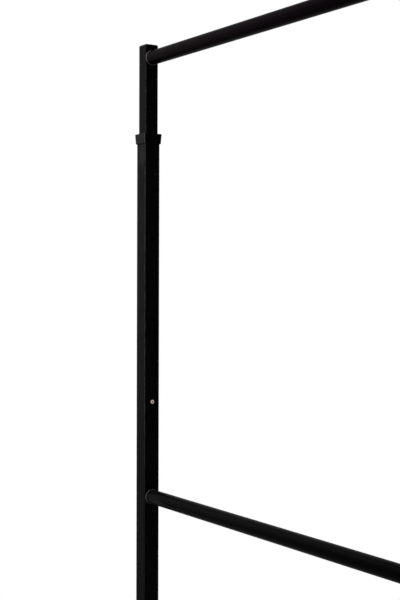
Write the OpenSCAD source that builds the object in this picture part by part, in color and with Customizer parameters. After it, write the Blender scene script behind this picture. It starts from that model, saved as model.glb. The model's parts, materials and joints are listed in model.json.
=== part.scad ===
// Kimono stand: two telescoping uprights on T-feet, joined by a lower bar and a top bar.
// The upper frame (inner posts and top bar) slides in the lower frame (outer posts, lower bar
// and feet), and a sprung button in each inner post locks it in one of four adjusting holes.
// X runs along the bars, Y from front to back and Z up. The origin is on the floor, midway
// between the uprights. The upper frame is drawn at its lowest setting.

/* [Stand] */
// Distance between the axes of the two uprights
post_span = 1500; // [900:10:1800]
// Height of the lower bar's axis above the floor
lower_bar_z = 705; // [500:5:900]

/* [Outer posts] */
// Width of the square outer tube
post_w = 30; // [28:1:36]
// Wall of the outer tube
post_wall = 1.2; // [1:0.1:1.6]
// Outside corner radius of the outer tube
post_corner = 2.5; // [2:0.5:4]
// Outer tube left above the highest adjusting hole
post_above_holes = 69; // [50:0.5:120]

/* [Inner posts] */
// Wall of the inner tube
inner_wall = 1.2; // [1:0.1:1.6]
// Outside corner radius of the inner tube
inner_corner = 2; // [2:0.5:3]
// Inner tube below the snap button's axis
inner_below_button = 142; // [90:1:144]
// Inner tube showing between the collar and the top bar's axis at the lowest setting
inner_showing = 132.5; // [40:0.5:300]
// Inner tube above the top bar's axis
inner_above_bar = 20; // [20:1:60]
// Thickness of the top cap's head
cap_head = 4.2; // [3:0.2:6]
// Rounding of the top cap's upper edge
cap_round = 2.2; // [0.6:0.2:2.6]

/* [Height adjustment] */
// Height of the lowest adjusting hole above the lower bar's axis
lowest_hole_rise = 167; // [165:1:260]
// Distance from the lowest adjusting hole to the second
step_1 = 144; // [60:1:160]
// Distance from the second adjusting hole to the third
step_2 = 142; // [60:1:160]
// Distance from the third adjusting hole to the highest
step_3 = 113; // [60:1:160]

/* [Snap buttons] */
// Diameter of the button
button_d = 8; // [6:0.5:10]
// How far the button stands out of the outer tube
button_reach = 2; // [1.5:0.1:4]
// Height of the button's dome
dome_h = 1.3; // [0.8:0.1:1.4]
// Diameter of the round cutter that leaves the dimple in the dome
dimple_d = 3.2; // [2.4:0.2:4]
// Depth of the dimple
dimple_depth = 1; // [0.4:0.1:1.2]
// Width of the shoulder that holds the button in the inner tube
shoulder_w = 1.2; // [0.8:0.2:2]
// Thickness of the shoulder
shoulder_t = 1.2; // [0.8:0.2:2]
// Width of the spring strip
spring_w = 8; // [6:1:12]
// Thickness of the spring strip
spring_t = 0.6; // [0.4:0.1:0.8]
// Depth of the spring's fold below the button's axis
spring_drop = 42; // [30:1:50]
// Radius of the spring's fold, to the middle of the strip
fold_r = 3; // [2:0.5:4]

/* [Collars] */
// Height of the collar's skirt
collar_h = 17.5; // [14:0.5:40]
// Thickness of the collar over the tube's rim
collar_flange = 2.5; // [2:0.5:5]
// Thickness of the skirt at its top
skirt_top = 2.9; // [2.2:0.1:4]
// Thickness of the skirt above its lower chamfer
skirt_low = 1.9; // [1.4:0.1:2.1]
// Height and depth of the skirt's lower chamfer
skirt_chamfer = 0.8; // [0.4:0.1:1.2]
// Corner radius of the skirt
skirt_corner = 3; // [2.5:0.5:4]
// Rounding of the collar's upper edge
collar_round = 0.6; // [0.4:0.1:1.2]
// Wall of the guide sleeve between the two tubes
sleeve_wall = 0.9; // [0.8:0.1:1.5]
// Length of the guide sleeve below the tube's rim
sleeve_len = 40; // [15:1:45]

/* [Bars] */
// Diameter of both bars
bar_d = 25; // [22:0.5:25]
// Wall of both bars
bar_wall = 1.2; // [1:0.1:2]
// Thickness of the end plug's flange
plug_flange = 1.5; // [1:0.25:3]
// How far the flange's rim stands proud of the bar
plug_rim = 0.4; // [0:0.1:0.8]
// Length of the end plug inside the bar
plug_len = 24; // [18:1:40]

/* [Feet] */
// Length of a foot from front to back, over its end caps
foot_len = 480; // [360:10:700]
// Thickness of a foot end cap's head
foot_cap_head = 4; // [3:0.5:8]
// Rounding of a foot end cap's outer edge
foot_cap_round = 1.2; // [0.6:0.2:2]
// Height of the spigot above the foot tube
spigot_h = 80; // [60:5:150]
// Depth of the spigot in the foot tube
spigot_depth = 8; // [4:1:16]
// Wall of the spigot
spigot_wall = 2; // [1.5:0.1:2.5]
// Height of a glide below the foot tube
glide_h = 8; // [6:1:15]
// Diameter of a glide's sole
glide_d = 26; // [20:1:28]
// Distance from the foot's end to a glide's axis
glide_inset = 35; // [30:1:80]
// Diameter of a glide's stem
stem_d = 7.6; // [6:0.2:9]

/* [Fasteners] */
// Thread diameter of the bar bolts
bolt_d = 8; // [6:1:8]
// Head diameter of the bar bolts
bolt_head_d = 14; // [12:0.5:15]
// Head height of the bar bolts
bolt_head_h = 4.4; // [3:0.2:5]
// Length of bolt thread that sits in the end plug
bolt_grip = 16; // [10:1:17]
// Washer diameter
washer_d = 16; // [15:0.5:18]
// Washer thickness
washer_t = 1.6; // [1:0.2:2]
// Thread diameter of the foot screws
screw_d = 6; // [5:1:6]
// Head diameter of the foot screws
screw_head_d = 10.5; // [10:0.5:12]
// Head height of the foot screws
screw_head_h = 3.3; // [2.5:0.1:4]
// Height of the foot screws above the foot tube
screw_rise = 40; // [20:1:50]
// Width across the flats of the foot screws' nuts
nut_flats = 10; // [9:0.5:12]
// Thickness of the foot screws' nuts
nut_t = 5; // [3:0.5:6]

/* [Clearances] */
// Gap between pieces that slide on each other
run_gap = 0.3; // [0.2:0.05:0.4]
// Gap between pieces that are pushed together and stay
seat_gap = 0.1; // [0.05:0.05:0.15]
// Gap round the button in the inner tube's hole
button_gap = 0.1; // [0.05:0.05:0.1]
// Gap round the button in the outer tube's holes
lock_gap = 0.35; // [0.2:0.05:0.5]
// Gap round a bolt or screw in a plain hole
bolt_gap = 0.3; // [0.2:0.05:0.5]
// Gap round a bolt or screw in its thread
thread_gap = 0.05; // [0.05:0.01:0.1]

/* [Hidden] */
$fn = 48;
hull_fn = 32;
skin = 0.01; // thickness of the slices that a hull joins
left = -1;
right = 1;

// Colours
steel_black = "#1c1b1d";
plastic_black = "#151515";
rubber_black = "#101010";
zinc = "#9a9a98";
bright_steel = "#c9c6c2";

// Fits worked out from the tubes
post_bore = post_w - 2 * post_wall;
inner_w = post_bore - 2 * (seat_gap + sleeve_wall + run_gap);
inner_bore = inner_w - 2 * inner_wall;
sleeve_bore = inner_w + 2 * run_gap;
spigot_w = post_bore - 2 * seat_gap;
bar_bore = bar_d - 2 * bar_wall;
bore_corner = max(post_corner - post_wall, 0.2); // inside corner radius of the outer tube
inner_bore_corner = max(inner_corner - inner_wall, 0.2);
spigot_corner = bore_corner + seat_gap;

// Heights above the floor
foot_axis_z = glide_h + post_w / 2;
foot_top_z = glide_h + post_w;
hole_steps = [0, step_1, step_1 + step_2, step_1 + step_2 + step_3];
button_z = lower_bar_z + lowest_hole_rise;
post_top_z = button_z + hole_steps[3] + post_above_holes;
collar_top_z = post_top_z + collar_flange;
top_bar_z = collar_top_z + inner_showing;
inner_top_z = top_bar_z + inner_above_bar;
inner_foot_z = button_z - inner_below_button;
screw_z = foot_top_z + screw_rise;

// Snap button, measured along X from the post's axis
button_tip_x = post_w / 2 + button_reach;
button_base_x = inner_bore / 2 - seat_gap - shoulder_t;

// Push-in plugs
fin_count = 4;
fin_t = 1;
fin_reach = 1.4;
core_corner = 1.5;
cap_shank = 20;
guide_head = 4;
bite = 0.5; // how far a shank runs into its head

module rounded_square(w, r) {
    square([w, w - 2 * r], center = true);
    square([w - 2 * r, w], center = true);
    for (x = [-1, 1], y = [-1, 1])
        translate([x * (w / 2 - r), y * (w / 2 - r)]) circle(r);
}

// Square tube standing on z = 0
module square_tube(w, wall, corner, length) {
    linear_extrude(length)
        difference() {
            rounded_square(w, corner);
            rounded_square(w - 2 * wall, max(corner - wall, 0.2));
        }
}

// Outline of a block's side, standing on the axis, with its upper corners rounded
module rounded_top(w, h, round) {
    translate([-w / 2, 0]) square([w, h - round]);
    translate([round - w / 2, 0]) square([w - 2 * round, h]);
    for (x = [-1, 1])
        translate([x * (w / 2 - round), h - round]) circle(round);
}

// Square block standing on z = 0, with its upper edges rounded
module soft_block(w, corner, h, round) {
    intersection() {
        linear_extrude(h) rounded_square(w, corner);
        rotate([90, 0, 0]) linear_extrude(2 * w, center = true) rounded_top(w, h, round);
        rotate([90, 0, 90]) linear_extrude(2 * w, center = true) rounded_top(w, h, round);
    }
}

// Ribbed shank of a push-in plug, hanging from z = 0, for a square tube of this bore
module ribbed_shank(bore_w, corner, length) {
    pitch = length / fin_count;
    translate([0, 0, -length])
        linear_extrude(length + bite) rounded_square(bore_w - 2 * fin_reach, core_corner);
    for (i = [0:fin_count - 1])
        translate([0, 0, (i + 0.5) * pitch - length])
            linear_extrude(fin_t)
                rounded_square(bore_w - 2 * seat_gap, corner + seat_gap);
}

// Cylinder along +X from x = 0
module rod_x(d, length) {
    rotate([0, 90, 0]) cylinder(d = d, h = length);
}

// Draws in the left upright's frame: the axis of the upright is at x = 0, and +X points at the
// other upright. The right upright is its mirror image.
module on_side(side) {
    if (side == left) translate([-post_span / 2, 0, 0]) children();
    else mirror([1, 0, 0]) translate([-post_span / 2, 0, 0]) children();
}

module on_both_sides() {
    for (side = [left, right]) on_side(side) children();
}

// Button-head bolt along +X, with the underside of its head at x = 0
module bolt(d, length, head_d, head_h) {
    head_r = (pow(head_d / 2, 2) + pow(head_h, 2)) / (2 * head_h);
    rod_x(d, length);
    difference() {
        intersection() {
            translate([head_r - head_h, 0, 0]) sphere(head_r);
            translate([-head_h, 0, 0]) rod_x(head_d, head_h);
        }
        translate([-head_h - 1, 0, 0]) rotate([0, 90, 0]) cylinder(d = 0.65 * d, h = 0.6 * head_h + 1, $fn = 6);
    }
}

module washer(hole) {
    difference() {
        rod_x(washer_d, washer_t);
        translate([-1, 0, 0]) rod_x(hole, washer_t + 2);
    }
}

// ---- Lower frame ----

// Foot bar, cut from the same tube as the outer posts
module foot_bar() {
    tube_len = foot_len - 2 * foot_cap_head;
    color(steel_black)
        difference() {
            translate([0, tube_len / 2, foot_axis_z])
                rotate([90, 0, 0]) square_tube(post_w, post_wall, post_corner, tube_len);
            // square opening for the spigot
            translate([0, 0, foot_axis_z])
                linear_extrude(post_w) rounded_square(spigot_w + 2 * seat_gap, spigot_corner);
            // holes for the glides' stems
            for (y = [-1, 1])
                translate([0, y * (foot_len / 2 - glide_inset), glide_h - 1])
                    cylinder(d = stem_d + 2 * seat_gap, h = post_wall + 2);
        }
}

// Spigot in the foot bar's upper side, which the outer post drops over
module foot_spigot() {
    color(steel_black)
        difference() {
            translate([0, 0, foot_top_z - spigot_depth])
                square_tube(spigot_w, spigot_wall, spigot_corner, spigot_depth + spigot_h);
            translate([-post_w, 0, screw_z]) rod_x(screw_d + 2 * bolt_gap, post_w);
        }
}

module foot_end_caps() {
    color(plastic_black)
        for (turn = [90, -90])
            translate([0, 0, foot_axis_z])
                rotate([turn, 0, 0])
                    translate([0, 0, foot_len / 2 - foot_cap_head]) {
                        soft_block(post_w, post_corner, foot_cap_head, foot_cap_round);
                        ribbed_shank(post_bore, bore_corner, cap_shank);
                    }
}

// Rubber glide with a stem that snaps into the foot tube
module foot_glides() {
    barb_z = glide_h + post_wall + seat_gap;
    color(rubber_black)
        for (y = [-1, 1])
            translate([0, y * (foot_len / 2 - glide_inset), 0])
                rotate_extrude()
                    polygon([
                        [0, 0], [glide_d / 2 - 1, 0], [glide_d / 2, 1], [glide_d / 2 - 1.5, glide_h],
                        [stem_d / 2, glide_h], [stem_d / 2, barb_z], [stem_d / 2 + 0.8, barb_z],
                        [stem_d / 2 - 0.8, barb_z + 3.5], [0, barb_z + 3.5]
                    ]);
}

module outer_post() {
    color(steel_black)
        difference() {
            translate([0, 0, foot_top_z])
                square_tube(post_w, post_wall, post_corner, post_top_z - foot_top_z);
            // adjusting holes in the face that looks at the other upright
            for (step = hole_steps)
                translate([0, 0, button_z + step]) rod_x(button_d + 2 * lock_gap, post_w);
            // lower bar's bolt, through both walls
            translate([-post_w, 0, lower_bar_z]) rod_x(bolt_d + 2 * bolt_gap, 2 * post_w);
            // foot screw, through the outward wall
            translate([-post_w, 0, screw_z]) rod_x(screw_d + 2 * bolt_gap, post_w);
        }
}

// Flared collar over the outer tube's rim, with a sleeve that guides the inner tube
module collar() {
    foot_z = collar_top_z - collar_h;
    low_w = post_w + 2 * skirt_low;
    top_w = post_w + 2 * skirt_top;
    slices = [
        [foot_z, low_w - 2 * skirt_chamfer],
        [foot_z + skirt_chamfer, low_w],
        [collar_top_z - collar_round, top_w],
        [collar_top_z - 0.3 * collar_round, top_w - 0.6 * collar_round],
        [collar_top_z - skin, top_w - 2 * collar_round]
    ];
    color(plastic_black)
        difference() {
            hull()
                for (s = slices)
                    translate([0, 0, s[0]])
                        linear_extrude(skin) rounded_square(s[1], skirt_corner, $fn = hull_fn);
            // socket for the outer tube
            difference() {
                translate([0, 0, foot_z - 1])
                    linear_extrude(collar_h - collar_flange + 1)
                        rounded_square(post_w + 2 * seat_gap, post_corner + seat_gap);
                translate([0, 0, foot_z - 2])
                    linear_extrude(collar_h + 2)
                        rounded_square(post_bore - 2 * seat_gap, bore_corner);
            }
            translate([0, 0, foot_z - 1])
                linear_extrude(collar_h + 2) rounded_square(sleeve_bore, inner_corner + run_gap);
        }
    color(plastic_black)
        translate([0, 0, post_top_z - sleeve_len])
            square_tube(post_bore - 2 * seat_gap, sleeve_wall, bore_corner,
                        sleeve_len - collar_h + collar_flange);
}

// ---- Bars ----

// Turned end plug: a flange against the post, and a shank with a thread inside the bar.
// It starts at x = 0 and points along +X.
module bar_plug() {
    rim_r = bar_d / 2 + plug_rim;
    color(steel_black)
        rotate([0, 90, 0])
            rotate_extrude()
                difference() {
                    union() {
                        square([rim_r - plug_flange / 2, plug_flange]);
                        translate([rim_r - plug_flange / 2, plug_flange / 2]) circle(d = plug_flange);
                        square([bar_bore / 2 - seat_gap, plug_flange + plug_len]);
                    }
                    translate([-1, -1])
                        square([bolt_d / 2 + thread_gap + 1, plug_flange + plug_len + 2]);
                    // thread relief at the shank's mouth
                    translate([bolt_d / 2, plug_flange + plug_len]) rotate(45) square(1.2, center = true);
                }
}

// Bar between two faces that stand this far from the uprights' axes
module bar(face_x) {
    length = post_span - 2 * (face_x + plug_flange);
    color(steel_black)
        translate([-length / 2, 0, 0])
            difference() {
                rod_x(bar_d, length);
                translate([-1, 0, 0]) rod_x(bar_bore, length + 2);
            }
}

// Bar bolt from the outward face of a post of this width, through the post, into the end plug
module bar_bolt(w) {
    color(zinc)
        translate([-w / 2 - washer_t, 0, 0])
            bolt(bolt_d, w + washer_t + plug_flange + bolt_grip, bolt_head_d, bolt_head_h);
}

module bar_washer(w) {
    color(zinc) translate([-w / 2 - washer_t, 0, 0]) washer(bolt_d + 2 * bolt_gap);
}

// ---- Upper frame ----

module inner_post() {
    color(steel_black)
        difference() {
            translate([0, 0, inner_foot_z])
                square_tube(inner_w, inner_wall, inner_corner, inner_top_z - inner_foot_z);
            translate([0, 0, button_z]) rod_x(button_d + 2 * button_gap, inner_w);
            translate([-inner_w, 0, top_bar_z]) rod_x(bolt_d + 2 * bolt_gap, 2 * inner_w);
        }
}

module top_cap() {
    shank = min(cap_shank, inner_above_bar - bolt_d);
    color(plastic_black)
        translate([0, 0, inner_top_z]) {
            soft_block(inner_w, inner_corner, cap_head, cap_round);
            ribbed_shank(inner_bore, inner_bore_corner, shank);
        }
}

// Plug in the inner tube's lower end, whose head runs in the outer tube
module guide_plug() {
    color(plastic_black)
        translate([0, 0, inner_foot_z - guide_head]) {
            linear_extrude(guide_head)
                rounded_square(post_bore - 2 * run_gap, bore_corner + run_gap);
            translate([0, 0, guide_head])
                mirror([0, 0, 1]) ribbed_shank(inner_bore, inner_bore_corner, cap_shank);
        }
}

// ---- Snap buttons ----

module button() {
    length = button_tip_x - button_base_x;
    dome_r = (pow(button_d / 2, 2) + pow(dome_h, 2)) / (2 * dome_h);
    color(bright_steel)
        translate([button_base_x, 0, button_z])
            rotate([0, 90, 0])
                rotate_extrude()
                    difference() {
                        union() {
                            square([button_d / 2 + shoulder_w, shoulder_t]);
                            square([button_d / 2, length - dome_h]);
                            intersection() {
                                translate([0, length - dome_r]) circle(dome_r);
                                translate([0, length - dome_h - 0.5]) square([button_d / 2, dome_h + 1]);
                            }
                        }
                        translate([-1, 0]) square([1, length]);
                        translate([0, length + dimple_d / 2 - dimple_depth]) circle(d = dimple_d);
                    }
}

// Straight leg of the spring strip from one end to where it touches the fold's circle. The leg
// passes the fold's middle on the right (1) or on the left (-1).
module spring_leg(end, fold, turn) {
    away = norm(fold - end);
    length = sqrt(away * away - fold_r * fold_r);
    translate(end)
        rotate(atan2(fold.y - end.y, fold.x - end.x) + turn * asin(fold_r / away)) {
            circle(d = spring_t);
            translate([0, -spring_t / 2]) square([length, spring_t]);
            translate([length, 0]) circle(d = spring_t);
        }
}

// Direction from the fold's middle to where a leg touches its circle
function touch_angle(end, fold, turn) =
    atan2(end.y - fold.y, end.x - fold.x) + turn * acos(fold_r / norm(end - fold));

// Folded strip that presses the button outwards: a seat behind the button, a leg down to the
// fold, and a leg up the far wall of the inner tube
module button_spring() {
    front_x = button_base_x - seat_gap - spring_t / 2;
    back_x = -inner_bore / 2 + seat_gap + spring_t / 2;
    seat_end = button_d / 2 + shoulder_w;
    front = [front_x, -seat_end];
    back = [back_x, seat_end];
    fold = [back_x / 2, fold_r + spring_t / 2 - spring_drop];
    front_touch = touch_angle(front, fold, -1);
    back_touch = touch_angle(back, fold, 1);
    far = 2 * fold_r;
    color(bright_steel)
        translate([0, spring_w / 2, button_z])
            rotate([90, 0, 0])
                linear_extrude(spring_w) {
                    translate([front_x - spring_t / 2, -seat_end]) square([spring_t, 2 * seat_end]);
                    translate([front_x, seat_end]) circle(d = spring_t);
                    spring_leg(front, fold, 1);
                    spring_leg(back, fold, -1);
                    translate(fold)
                        difference() {
                            circle(fold_r + spring_t / 2);
                            circle(fold_r - spring_t / 2);
                            polygon([
                                [0, 0], far * [cos(front_touch), sin(front_touch)],
                                [0, 2 * far], far * [cos(back_touch), sin(back_touch)]
                            ]);
                        }
                }
}

// ---- Nodes ----

module left_foot_bar() { on_side(left) foot_bar(); }
module right_foot_bar() { on_side(right) foot_bar(); }
module left_foot_spigot() { on_side(left) foot_spigot(); }
module right_foot_spigot() { on_side(right) foot_spigot(); }
module left_foot_end_caps() { on_side(left) foot_end_caps(); }
module right_foot_end_caps() { on_side(right) foot_end_caps(); }
module left_foot_glides() { on_side(left) foot_glides(); }
module right_foot_glides() { on_side(right) foot_glides(); }
module left_outer_post() { on_side(left) outer_post(); }
module right_outer_post() { on_side(right) outer_post(); }
module left_collar() { on_side(left) collar(); }
module right_collar() { on_side(right) collar(); }

module lower_bar() { translate([0, 0, lower_bar_z]) bar(post_w / 2); }
module lower_bar_left_plug() { on_side(left) translate([post_w / 2, 0, lower_bar_z]) bar_plug(); }
module lower_bar_right_plug() { on_side(right) translate([post_w / 2, 0, lower_bar_z]) bar_plug(); }
module lower_bar_bolts() { on_both_sides() translate([0, 0, lower_bar_z]) bar_bolt(post_w); }
module lower_bar_washers() { on_both_sides() translate([0, 0, lower_bar_z]) bar_washer(post_w); }

module foot_screws() {
    color(zinc)
        on_both_sides()
            translate([-post_w / 2 - washer_t, 0, screw_z])
                bolt(screw_d, washer_t + post_wall + seat_gap + spigot_wall + nut_t, screw_head_d, screw_head_h);
}

module foot_washers() {
    color(zinc)
        on_both_sides()
            translate([-post_w / 2 - washer_t, 0, screw_z]) washer(screw_d + 2 * bolt_gap);
}

module foot_nuts() {
    color(zinc)
        on_both_sides()
            translate([-spigot_w / 2 + spigot_wall, 0, screw_z])
                rotate([0, 90, 0])
                    difference() {
                        cylinder(d = nut_flats / cos(30), h = nut_t, $fn = 6);
                        translate([0, 0, -1]) cylinder(d = screw_d + 2 * thread_gap, h = nut_t + 2);
                    }
}

module left_inner_post() { on_side(left) inner_post(); }
module right_inner_post() { on_side(right) inner_post(); }
module left_top_cap() { on_side(left) top_cap(); }
module right_top_cap() { on_side(right) top_cap(); }
module left_guide_plug() { on_side(left) guide_plug(); }
module right_guide_plug() { on_side(right) guide_plug(); }

module top_bar() { translate([0, 0, top_bar_z]) bar(inner_w / 2); }
module top_bar_left_plug() { on_side(left) translate([inner_w / 2, 0, top_bar_z]) bar_plug(); }
module top_bar_right_plug() { on_side(right) translate([inner_w / 2, 0, top_bar_z]) bar_plug(); }
module top_bar_bolts() { on_both_sides() translate([0, 0, top_bar_z]) bar_bolt(inner_w); }
module top_bar_washers() { on_both_sides() translate([0, 0, top_bar_z]) bar_washer(inner_w); }

module left_button_spring() { on_side(left) button_spring(); }
module right_button_spring() { on_side(right) button_spring(); }
module left_button() { on_side(left) button(); }
module right_button() { on_side(right) button(); }

left_foot_bar();
right_foot_bar();
left_foot_spigot();
right_foot_spigot();
left_foot_end_caps();
right_foot_end_caps();
left_foot_glides();
right_foot_glides();
left_outer_post();
right_outer_post();
left_collar();
right_collar();
lower_bar();
lower_bar_left_plug();
lower_bar_right_plug();
lower_bar_bolts();
lower_bar_washers();
foot_screws();
foot_washers();
foot_nuts();
left_inner_post();
right_inner_post();
left_top_cap();
right_top_cap();
left_guide_plug();
right_guide_plug();
top_bar();
top_bar_left_plug();
top_bar_right_plug();
top_bar_bolts();
top_bar_washers();
left_button_spring();
right_button_spring();
left_button();
right_button();
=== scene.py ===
import json
import math

import bpy
import numpy as np
from bpy.props import FloatProperty, FloatVectorProperty, IntProperty, PointerProperty
from bpy.types import Operator, Panel, PropertyGroup
from mathutils import Matrix, Vector


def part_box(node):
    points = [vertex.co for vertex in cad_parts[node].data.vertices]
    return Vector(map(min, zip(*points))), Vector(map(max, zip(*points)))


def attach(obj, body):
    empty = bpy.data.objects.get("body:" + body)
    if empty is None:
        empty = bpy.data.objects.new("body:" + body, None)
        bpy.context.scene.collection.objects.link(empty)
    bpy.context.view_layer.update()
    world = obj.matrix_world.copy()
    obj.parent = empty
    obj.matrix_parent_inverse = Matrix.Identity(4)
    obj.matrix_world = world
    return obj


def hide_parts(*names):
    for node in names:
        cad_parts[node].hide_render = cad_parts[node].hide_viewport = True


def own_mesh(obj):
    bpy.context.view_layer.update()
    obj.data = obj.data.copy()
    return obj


bl_info = {
    "name": "Kimono Stand Finishes",
    "version": (1, 0, 0),
    "blender": (4, 5, 0),
    "location": "View3D > Sidebar > Kimono Stand",
    "description": "Coats, moulds and lights a telescoping kimono stand around its construction model",
    "category": "Object",
}

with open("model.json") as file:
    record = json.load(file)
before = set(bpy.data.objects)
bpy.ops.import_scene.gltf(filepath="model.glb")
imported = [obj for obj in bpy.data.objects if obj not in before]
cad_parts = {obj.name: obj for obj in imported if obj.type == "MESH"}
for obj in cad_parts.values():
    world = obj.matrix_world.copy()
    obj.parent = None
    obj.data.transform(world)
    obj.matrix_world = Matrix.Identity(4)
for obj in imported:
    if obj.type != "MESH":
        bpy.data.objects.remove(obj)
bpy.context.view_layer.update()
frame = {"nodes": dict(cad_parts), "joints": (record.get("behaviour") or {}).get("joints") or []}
MM = 0.001
SIDES = ("left", "right")


def node_box(node):
    """Lowest and highest corner of a construction node, the rows of an array in metres."""
    return np.array(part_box(node))


def left_box(node):
    """The same for the part of a node that lies at the left of the stand."""
    mesh = frame["nodes"][node].data
    points = np.empty(3 * len(mesh.vertices), np.float32)
    mesh.vertices.foreach_get("co", points)
    points = points.reshape(-1, 3).astype(float)
    points = points[points[:, 0] < 0]
    return points.min(axis=0), points.max(axis=0)


def node_middle(node):
    """Middle of a construction node's box."""
    return node_box(node).mean(axis=0)


def joint_reach(name):
    """How far a sliding joint goes, in metres."""
    return next(joint["range_m"][1] for joint in frame["joints"] if joint["name"] == name)


POST_LOW, POST_HIGH = node_box("left_outer_post")
POST_HALF = (POST_HIGH[0] - POST_LOW[0]) / 2
POST_X = node_middle("left_outer_post")[0]
INNER_LOW, INNER_HIGH = node_box("left_inner_post")
INNER_HALF = (INNER_HIGH[0] - INNER_LOW[0]) / 2
FOOT_LOW, FOOT_HIGH = node_box("left_foot_bar")
FOOT_AXIS_Z = node_middle("left_foot_bar")[2]

# Sizes of the construction model that no node's box gives.
HOLE_RADIUS = 4.35 * MM
FOOT_CAP_SHANK = 20 * MM
NUT_BORE, NUT_FLATS = 3.05 * MM, 10 * MM

# How finely round pieces and the floor are divided, and from which angle an edge stays sharp.
TURNED_SIDES, GLIDE_SIDES = 48, 56
FLOOR_RINGS, FLOOR_SPOKES = 24, 96
SHARP_ANGLE = math.radians(38)

LAMP_AIM = Vector((-0.75, 0.0, 1.1))


# ---------------- settings


def a_colour(name, what, default):
    """A colour that a user can change, and what it is the colour of."""
    return FloatVectorProperty(
        name=name, description=f"Colour of {what}", subtype="COLOR", size=3, min=0, max=1,
        default=default)


def a_share(name, description, default):
    """A share from 0 to 1 that a user can change."""
    return FloatProperty(
        name=name, description=description, subtype="FACTOR", min=0, max=1, default=default)


def a_length(name, description, low, high, default):
    """A length that a user can change between two limits, all given in millimetres."""
    return FloatProperty(
        name=name, description=description, unit="LENGTH",
        min=low * MM, max=high * MM, default=default * MM)


def a_power(name, description, default):
    """A lamp's power in watts that a user can change."""
    return FloatProperty(
        name=name, description=description, unit="POWER", min=0, max=1000, default=default)


def an_angle(name, description, default):
    """An angle that a user can change, given in degrees."""
    return FloatProperty(
        name=name, description=description, subtype="ANGLE", default=math.radians(default))


class FinishSettings(PropertyGroup):
    """Colours and textures of the stand's finishes."""

    paint: a_colour(
        "Outer coat", "the black powder coat on the outer posts and feet", (0.0062, 0.0061, 0.0061))
    inner_paint: a_colour(
        "Inner coat", "the slightly warmer black coat on the inner posts", (0.0050, 0.0041, 0.0045))
    bar_paint: a_colour(
        "Lower bar coat", "the smoother black coat on the lower bar", (0.0013, 0.0012, 0.0013))
    top_bar_paint: a_colour(
        "Top bar coat", "the warmer black coat on the top bar", (0.0028, 0.0008, 0.0021))
    post_gloss: a_share("Post gloss", "Specular level of the posts' and feet's coat", 0.007)
    bar_gloss: a_share("Lower bar gloss", "Specular level of the lower bar's coat", 0.007)
    top_bar_gloss: a_share("Top bar gloss", "Specular level of the top bar's coat", 0.006)
    # Painted highlight on the tubes' corners, on patches of the coat and on the collars' corners.
    painted_highlight: a_colour(
        "Painted highlight", "the coat and the plastic where they are rubbed", (0.12, 0.115, 0.112))
    # Painted highlight beside the left post's highest adjusting hole.
    hole_highlight_colour: a_colour("Hole highlight", "the tube in a chip of its coat", (0.34, 0.335, 0.33))
    flange: a_colour("Plug flange", "the plugs' flanges between bar and post", (0.33, 0.325, 0.325))
    dust: a_colour(
        "Dust", "fine dust on upward faces, soles and sliding marks", (0.010, 0.0095, 0.0095))
    plastic: a_colour("Moulded plastic", "the collars, caps and guide plugs", (0.0265, 0.0246, 0.0256))
    # Painted shade on the collars' sides that look along the bars.
    shaded_side_plastic: a_colour(
        "Shaded plastic", "the collars' sides that hands press, along the bars",
        (0.0015, 0.0015, 0.0015))
    rubber: a_colour("Rubber", "the glides under the feet", (0.015, 0.015, 0.015))
    zinc: a_colour("Zinc plate", "the plated bolts, washers and nuts", (0.50, 0.51, 0.52))
    bright_steel: a_colour("Bright steel", "the turned snap buttons", (0.58, 0.48, 0.405))
    spring_steel: a_colour("Spring steel", "the folded spring strips", (0.34, 0.32, 0.30))
    # Painted shade round the buttons' edges, in the same dark colour as the spot at their tips.
    dark_tip_and_shade: a_colour("Button dark", "the grime in the buttons' dimples and edges", (0.012, 0.010, 0.009))
    peel_size: a_length("Orange peel", "Width of the powder coat's orange-peel waves", 0.2, 5, 1.1)
    peel_depth: a_length(
        "Orange peel depth", "Depth of the powder coat's orange-peel waves", 0, 0.1, 0.03)
    grain_size: a_length("Mould grain", "Width of the plastic's grain", 0.1, 2, 0.4)
    grain_depth: a_length("Mould grain depth", "Depth of the plastic's grain", 0, 0.1, 0.015)


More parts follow.
